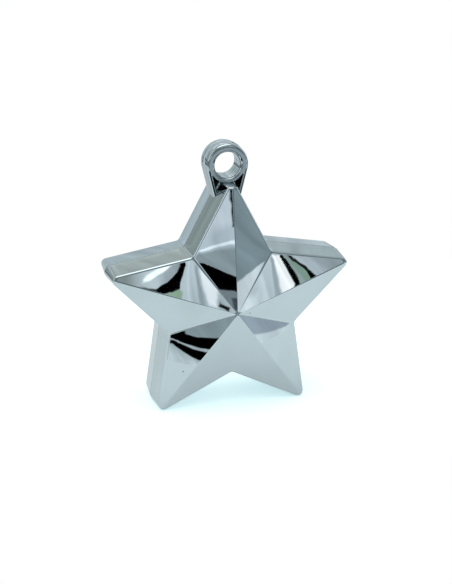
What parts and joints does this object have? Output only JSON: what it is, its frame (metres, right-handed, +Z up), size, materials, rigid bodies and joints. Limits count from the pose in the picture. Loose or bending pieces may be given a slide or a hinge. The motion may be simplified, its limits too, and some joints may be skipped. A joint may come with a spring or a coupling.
{
  "type": "balloon weight",
  "caption": "Chrome-plated faceted star that stands on its lower points and weighs down a balloon; the ribbon ties through a round eyelet on the top point.",
  "frame": {"origin": "on the surface it stands on, under the middle of the star, on the seam plane between the halves", "axes": "+Z up towards the eyelet, +X to the right seen from the front, +Y to the rear along the eyelet's hole"},
  "size_m": [0.0882, 0.0372, 0.0963],
  "materials": {
    "plating": "polished mirror plating on moulded plastic",
    "mortar": "rough cast mortar",
    "glue": "hardened clear amber glue"
  },
  "bodies": {
    "root": {"front_shell": "plating", "rear_shell": "plating", "front_ballast": "mortar", "rear_ballast": "mortar", "seam_adhesive": "glue"}
  },
  "joints": []
}
